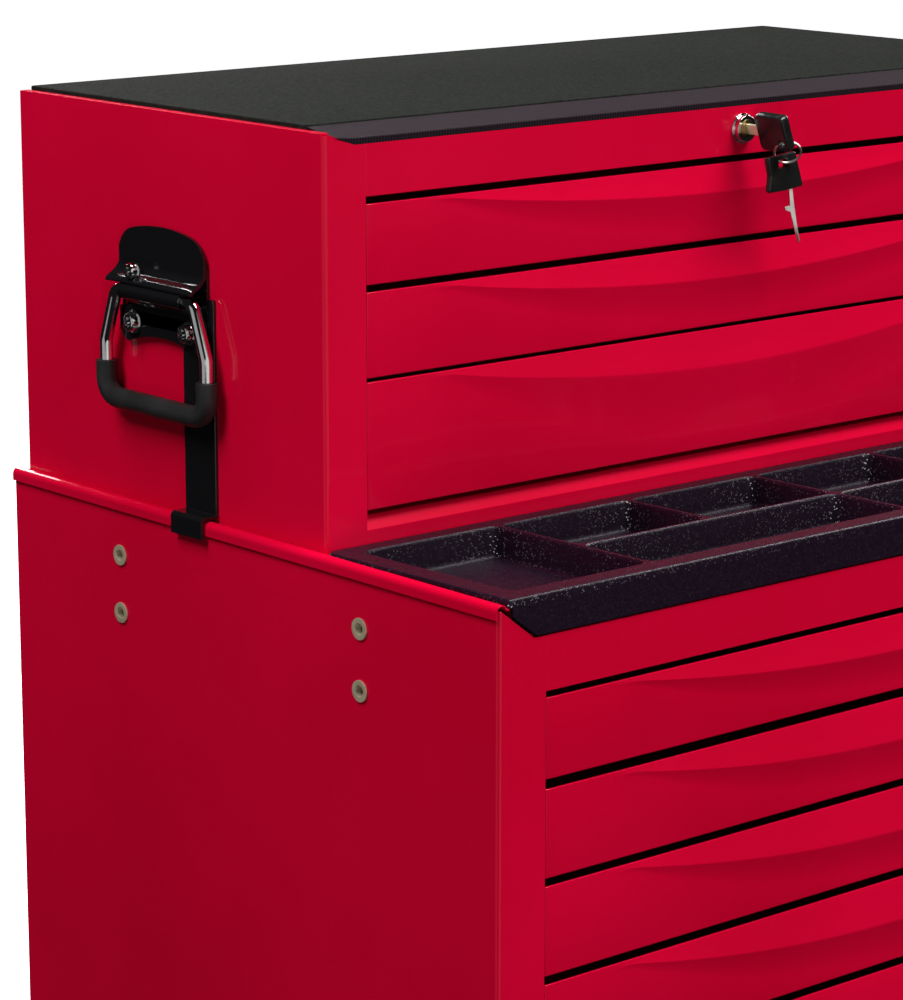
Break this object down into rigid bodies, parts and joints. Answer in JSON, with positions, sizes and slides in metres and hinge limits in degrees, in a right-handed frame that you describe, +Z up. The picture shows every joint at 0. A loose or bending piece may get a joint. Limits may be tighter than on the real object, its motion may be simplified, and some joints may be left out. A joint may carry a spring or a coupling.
{
  "type": "rolling tool chest",
  "caption": "Rolling steel tool chest: a drawer chest with folding side handles hooked onto a roller cabinet with drawers, a lift-out tool tray and braked swivel castors.",
  "frame": {"origin": "centre of the footprint's bounding box, on the floor", "axes": "+Z up, drawers open towards -Y, X across the width"},
  "size_m": [0.691, 0.4734, 1.0492],
  "materials": {
    "red_paint": "glossy crimson powder coat",
    "mat_rubber": "grained dark grey rubber",
    "grip_rubber": "satin dark rubber",
    "tray_plastic": "glossy black with a coarse grain",
    "black_paint": "glossy black paint",
    "chrome": "bright chrome plate",
    "brass": "plain brass",
    "zinc_steel": "zinc plated",
    "nickel": "dull nickel plate",
    "key_plastic": "smooth black",
    "wheel_rubber": "dark grey rubber tyre on a moulded hub",
    "brake_plastic": "smooth black"
  },
  "bodies": {
    "cabinet": {"cabinet_left_side": "red_paint", "cabinet_right_side": "red_paint", "cabinet_back_panel": "red_paint", "cabinet_floor": "red_paint", "cabinet_top": "red_paint", "cabinet_fixed_runners": "zinc_steel", "side_inserts": "nickel", "cabinet_lock_housing": "chrome", "swivel_plates": "zinc_steel", "fixed_forks": "zinc_steel", "fixed_axles": "zinc_steel", "castor_bolts": "zinc_steel"},
    "tray": {"tool_tray": "tray_plastic"},
    "chest": {"chest_left_side": "red_paint", "chest_right_side": "red_paint", "chest_back_panel": "red_paint", "chest_floor": "red_paint", "chest_top": "red_paint", "top_mat": "mat_rubber", "chest_fixed_runners": "zinc_steel", "lock_housing": "chrome", "handle_plates": "black_paint", "handle_bolts": "chrome", "hook_brackets": "black_paint"},
    "chest_lock": {"lock_cylinder": "brass", "lock_cam": "zinc_steel", "key": "key_plastic"},
    "cabinet_lock": {"cabinet_lock_cylinder": "brass"},
    "left_bail": {"bail_left": "chrome", "grip_left": "grip_rubber"},
    "right_bail": {"bail_right": "chrome", "grip_right": "grip_rubber"},
    "chest_drawer_1": {"chest_drawer_1": "red_paint", "chest_runners_1": "zinc_steel"},
    "chest_drawer_2": {"chest_drawer_2": "red_paint", "chest_runners_2": "zinc_steel"},
    "chest_drawer_3": {"chest_drawer_3": "red_paint", "chest_runners_3": "zinc_steel"},
    "cabinet_drawer_1": {"cabinet_drawer_1": "red_paint", "cabinet_runners_1": "zinc_steel"},
    "cabinet_drawer_2": {"cabinet_drawer_2": "red_paint", "cabinet_runners_2": "zinc_steel"},
    "cabinet_drawer_3": {"cabinet_drawer_3": "red_paint", "cabinet_runners_3": "zinc_steel"},
    "cabinet_drawer_4": {"cabinet_drawer_4": "red_paint", "cabinet_runners_4": "zinc_steel"},
    "cabinet_drawer_5": {"cabinet_drawer_5": "red_paint", "cabinet_runners_5": "zinc_steel"},
    "cabinet_drawer_6": {"cabinet_drawer_6": "red_paint", "cabinet_runners_6": "zinc_steel"},
    "swivel_front": {"swivel_fork_front": "zinc_steel", "swivel_axle_front": "zinc_steel"},
    "wheel_front_right": {"wheel_front_right": "wheel_rubber"},
    "wheel_front_left": {"wheel_front_left": "wheel_rubber"},
    "brake_front": {"brake_front": "brake_plastic"},
    "swivel_rear": {"swivel_fork_rear": "zinc_steel", "swivel_axle_rear": "zinc_steel"},
    "wheel_rear_right": {"wheel_rear_right": "wheel_rubber"},
    "wheel_rear_left": {"wheel_rear_left": "wheel_rubber"},
    "brake_rear": {"brake_rear": "brake_plastic"}
  },
  "joints": [
    {"name": "chest_lift", "type": "slide", "parent": "cabinet", "child": "chest", "axis": [0, 0, 1], "range_m": [0, 0.12]},
    {"name": "tray_lift", "type": "slide", "parent": "cabinet", "child": "tray", "axis": [0, 0, 1], "range_m": [0, 0.014]},
    {"name": "chest_drawer_1_slide", "type": "slide", "parent": "chest", "child": "chest_drawer_1", "axis": [0, -1, 0], "range_m": [0, 0.2]},
    {"name": "chest_drawer_2_slide", "type": "slide", "parent": "chest", "child": "chest_drawer_2", "axis": [0, -1, 0], "range_m": [0, 0.2]},
    {"name": "chest_drawer_3_slide", "type": "slide", "parent": "chest", "child": "chest_drawer_3", "axis": [0, -1, 0], "range_m": [0, 0.2]},
    {"name": "cabinet_drawer_1_slide", "type": "slide", "parent": "cabinet", "child": "cabinet_drawer_1", "axis": [0, -1, 0], "range_m": [0, 0.33]},
    {"name": "cabinet_drawer_2_slide", "type": "slide", "parent": "cabinet", "child": "cabinet_drawer_2", "axis": [0, -1, 0], "range_m": [0, 0.33]},
    {"name": "cabinet_drawer_3_slide", "type": "slide", "parent": "cabinet", "child": "cabinet_drawer_3", "axis": [0, -1, 0], "range_m": [0, 0.33]},
    {"name": "cabinet_drawer_4_slide", "type": "slide", "parent": "cabinet", "child": "cabinet_drawer_4", "axis": [0, -1, 0], "range_m": [0, 0.33]},
    {"name": "cabinet_drawer_5_slide", "type": "slide", "parent": "cabinet", "child": "cabinet_drawer_5", "axis": [0, -1, 0], "range_m": [0, 0.33]},
    {"name": "cabinet_drawer_6_slide", "type": "slide", "parent": "cabinet", "child": "cabinet_drawer_6", "axis": [0, -1, 0], "range_m": [0, 0.33]},
    {"name": "chest_lock_turn", "type": "hinge", "parent": "chest", "child": "chest_lock", "pos_m": [0, -0.0713, 1.0251], "axis": [0, 1, 0], "range_deg": [0, 90]},
    {"name": "cabinet_lock_turn", "type": "hinge", "parent": "cabinet", "child": "cabinet_lock", "pos_m": [0, -0.2313, 0.7696], "axis": [0, 1, 0], "range_deg": [0, 90]},
    {"name": "left_bail_swing", "type": "hinge", "parent": "chest", "child": "left_bail", "pos_m": [-0.339, 0.0807, 0.9376], "axis": [0, 1, 0], "range_deg": [0, 88]},
    {"name": "right_bail_swing", "type": "hinge", "parent": "chest", "child": "right_bail", "pos_m": [0.339, 0.0807, 0.9376], "axis": [0, -1, 0], "range_deg": [0, 88]},
    {"name": "swivel_front_turn", "type": "hinge", "parent": "cabinet", "child": "swivel_front", "pos_m": [0.262, -0.1653, 0.14], "axis": [0, 0, 1], "continuous": true},
    {"name": "wheel_front_right_spin", "type": "hinge", "parent": "swivel_front", "child": "wheel_front_right", "pos_m": [0.224, -0.1653, 0.0625], "axis": [0, 1, 0], "continuous": true},
    {"name": "wheel_front_left_spin", "type": "hinge", "parent": "cabinet", "child": "wheel_front_left", "pos_m": [-0.262, -0.1653, 0.0625], "axis": [0, 1, 0], "continuous": true},
    {"name": "brake_front_press", "type": "hinge", "parent": "swivel_front", "child": "brake_front", "pos_m": [0.16502, -0.1653, 0.1038], "axis": [0, 1, 0], "range_deg": [0, 12]},
    {"name": "swivel_rear_turn", "type": "hinge", "parent": "cabinet", "child": "swivel_rear", "pos_m": [0.262, 0.1707, 0.14], "axis": [0, 0, 1], "continuous": true},
    {"name": "wheel_rear_right_spin", "type": "hinge", "parent": "swivel_rear", "child": "wheel_rear_right", "pos_m": [0.224, 0.1707, 0.0625], "axis": [0, 1, 0], "continuous": true},
    {"name": "wheel_rear_left_spin", "type": "hinge", "parent": "cabinet", "child": "wheel_rear_left", "pos_m": [-0.262, 0.1707, 0.0625], "axis": [0, 1, 0], "continuous": true},
    {"name": "brake_rear_press", "type": "hinge", "parent": "swivel_rear", "child": "brake_rear", "pos_m": [0.16502, 0.1707, 0.1038], "axis": [0, 1, 0], "range_deg": [0, 12]}
  ]
}
